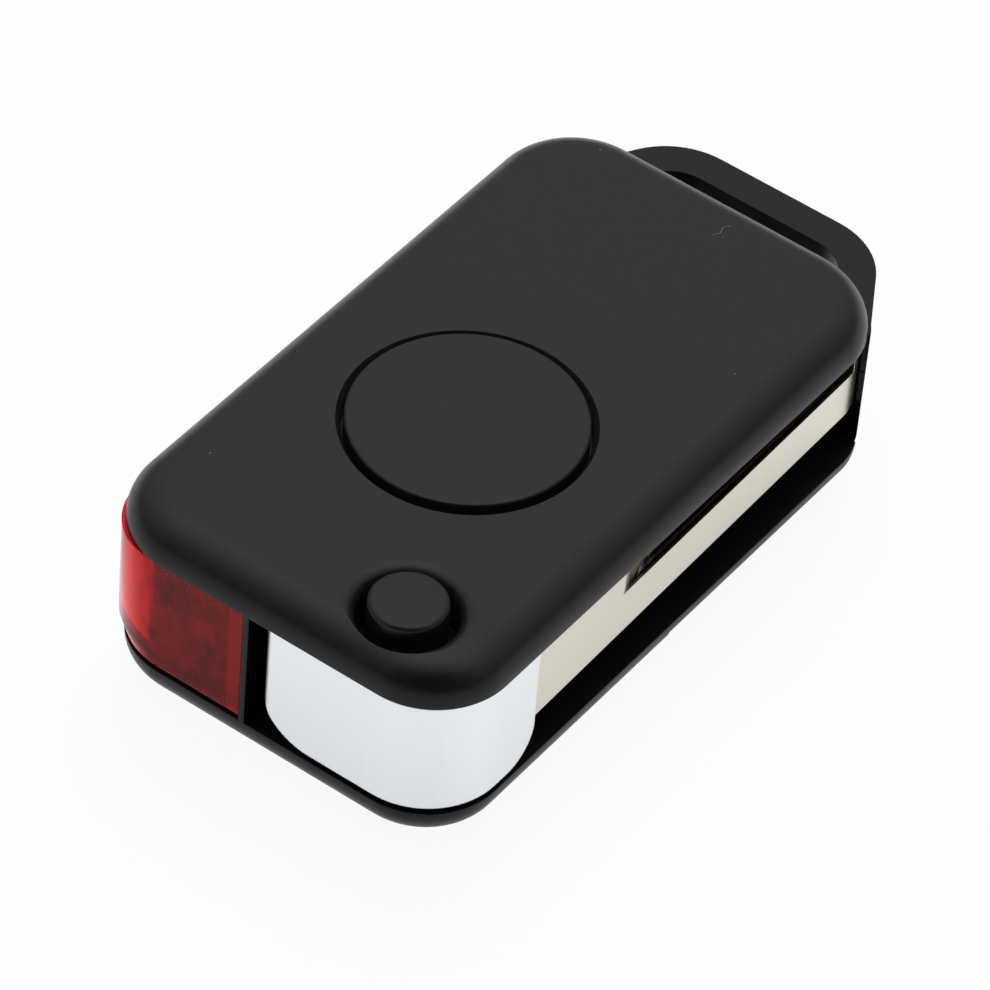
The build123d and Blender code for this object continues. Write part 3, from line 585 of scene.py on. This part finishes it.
def makeCurl(name, points, level):
    curve = bpy.data.curves.new(name, "CURVE")
    curve.dimensions = "3D"
    curve.bevel_depth = dust["curlWire"] * mm
    curve.bevel_resolution = dust["curlSmooth"]
    curve.use_fill_caps = True
    spline = curve.splines.new("BEZIER")
    spline.bezier_points.add(len(points) - 1)
    for knot, (x, y) in zip(spline.bezier_points, points):
        knot.co = (x * mm, y * mm, level + dust["curlWire"] * mm)
        knot.handle_left_type = "AUTO"
        knot.handle_right_type = "AUTO"
    curve.materials.append(lint)
    finishPiece(name, curve, "housing")


onCover = [(Vector((x * mm, y * mm, coverTop)), size) for x, y, size in dust["coverFlakes"]]
onWindow = [(Vector((x * mm, windowFront, z * mm)), size) for x, z, size in dust["windowFlakes"]]
makeFlakes("cover_dust", onCover, Vector((1, 0, 0)), Vector((0, 1, 0)), "housing")
makeFlakes("window_dust", onWindow, Vector((1, 0, 0)), Vector((0, 0, 1)), "housing")
makeCurl("cover_fibre", dust["curl"], coverTop)
print("dust laid")


# Floor, backdrop and light

studio = {
    "floor": "#F4F4F4",
    "floorHalf": 3000.0,
    "floorDrop": 0.02,
    "glow": 0.94,  # share of the floor that shines by itself, so that the shadow stays faint
    "mirrorGlow": 0.75,  # the same in reflections, which show more of the shadow
    "skyDiffuse": 0.15,  # share of the room that lights matt faces, as the lamp does the rest
    "darkSide": (0.53, -0.81, 0.25),  # the room is dark low down at the near right
    "darkFrom": 0.45,
    "darkTo": 0.85,
    "lowLight": 0.1,
    "roomLight": 1.1,
    "wallTop": 0.7,  # heights in the room, as shares of straight up
    "ceiling": 1.0,  # what the softbox overhead adds
    "ceilingFrom": 0.75,
    "ceilingTo": 0.95,
    "topPower": 7.5,
    "topSize": 700,
    "topPlace": (-260, 420, 760),
}


def seenShare(tree, direct, mirrored):
    # How far the camera or a clear piece, and then a gloss, sees the glow and not the matt floor
    path = addNode(tree, "ShaderNodeLightPath")
    either = addNode(
        tree,
        "ShaderNodeMath",
        {"operation": "MAXIMUM"},
        {0: path.outputs["Is Camera Ray"], 1: path.outputs["Is Transmission Ray"]},
    )
    straight = addNode(
        tree, "ShaderNodeMath", {"operation": "MULTIPLY", 1: direct}, {0: either.outputs[0]}
    )
    gloss = addNode(
        tree,
        "ShaderNodeMath",
        {"operation": "MULTIPLY", 1: mirrored},
        {0: path.outputs["Is Glossy Ray"]},
    )
    return addNode(
        tree, "ShaderNodeMath", {"operation": "MAXIMUM"}, {0: straight.outputs[0], 1: gloss.outputs[0]}
    ).outputs[0]


def makeFloor(plan):
    # Matt card that partly shines, so that it stays white under the faint shadow
    mesh = bpy.data.meshes.new("floor")
    half = plan["floorHalf"] * mm
    level = cadBox[0][2] - plan["floorDrop"] * mm
    corners = [(-half, -half, level), (half, -half, level), (half, half, level), (-half, half, level)]
    mesh.from_pydata(corners, [], [(0, 1, 2, 3)])
    floor = bpy.data.objects.new("floor", mesh)
    bpy.context.scene.collection.objects.link(floor)
    material, tree = newMaterial("pale_floor")
    matt = addNode(tree, "ShaderNodeBsdfDiffuse", {"Color": linear(plan["floor"])})
    glow = addNode(tree, "ShaderNodeEmission", {"Color": (1, 1, 1, 1), "Strength": 1.0})
    share = seenShare(tree, plan["glow"], plan["mirrorGlow"])
    both = addNode(
        tree, "ShaderNodeMixShader", None, {0: share, 1: matt.outputs[0], 2: glow.outputs[0]}
    )
    addNode(tree, "ShaderNodeOutputMaterial", None, {"Surface": both.outputs[0]})
    mesh.materials.append(material)


def makeWorld(plan):
    # Grey walls that brighten with height, a softbox overhead, and white behind the object
    world = bpy.data.worlds.new("studio")
    bpy.context.scene.world = world
    world.use_nodes = True
    tree = world.node_tree
    tree.nodes.clear()
    way = addNode(tree, "ShaderNodeTexCoord").outputs["Generated"]
    facing = addNode(
        tree,
        "ShaderNodeVectorMath",
        {"operation": "DOT_PRODUCT", 1: plan["darkSide"]},
        {0: way},
    )
    clearOf = addNode(
        tree,
        "ShaderNodeMapRange",
        {"From Min": plan["darkFrom"], "From Max": plan["darkTo"], "To Min": 1.0, "To Max": 0.0},
        {"Value": facing.outputs["Value"]},
    )
    height = addNode(tree, "ShaderNodeSeparateXYZ", None, {"Vector": way}).outputs["Z"]
    walls = addNode(
        tree,
        "ShaderNodeMapRange",
        {"From Max": plan["wallTop"], "To Min": plan["lowLight"], "To Max": plan["roomLight"]},
        {"Value": height},
    )
    ceiling = addNode(
        tree,
        "ShaderNodeMapRange",
        {"From Min": plan["ceilingFrom"], "From Max": plan["ceilingTo"], "To Max": plan["ceiling"]},
        {"Value": height},
    )
    bright = addNode(
        tree, "ShaderNodeMath", {"operation": "ADD"}, {0: walls.outputs[0], 1: ceiling.outputs[0]}
    )
    room = addNode(
        tree, "ShaderNodeMath", {"operation": "MULTIPLY"}, {0: bright.outputs[0], 1: clearOf.outputs[0]}
    )
    path = addNode(tree, "ShaderNodeLightPath")
    soft = addNode(
        tree,
        "ShaderNodeMapRange",
        {"To Min": 1.0, "To Max": plan["skyDiffuse"]},
        {"Value": path.outputs["Is Diffuse Ray"]},
    )
    lit = addNode(
        tree,
        "ShaderNodeMath",
        {"operation": "MULTIPLY"},
        {0: room.outputs[0], 1: soft.outputs[0]},
    )
    seen = addNode(
        tree,
        "ShaderNodeMath",
        {"operation": "MAXIMUM"},
        {0: path.outputs["Is Camera Ray"], 1: path.outputs["Is Transmission Ray"]},
    )
    strength = addNode(
        tree,
        "ShaderNodeMath",
        {"operation": "MAXIMUM"},
        {0: lit.outputs[0], 1: seen.outputs[0]},
    )
    sky = addNode(
        tree, "ShaderNodeBackground", {"Color": (1, 1, 1, 1)}, {"Strength": strength.outputs[0]}
    )
    addNode(tree, "ShaderNodeOutputWorld", None, {"Surface": sky.outputs[0]})


def makeLamp(name, place, size, power):
    data = bpy.data.lights.new(name, "AREA")
    data.shape = "DISK"
    data.size = size * mm
    data.energy = power
    lamp = bpy.data.objects.new(name, data)
    lamp.location = Vector(place) * mm
    lamp.rotation_euler = (-lamp.location).to_track_quat("-Z", "Y").to_euler()
    lamp.visible_glossy = False
    bpy.context.scene.collection.objects.link(lamp)


makeFloor(studio)
makeWorld(studio)
makeLamp("topLamp", studio["topPlace"], studio["topSize"], studio["topPower"])
print("studio made")
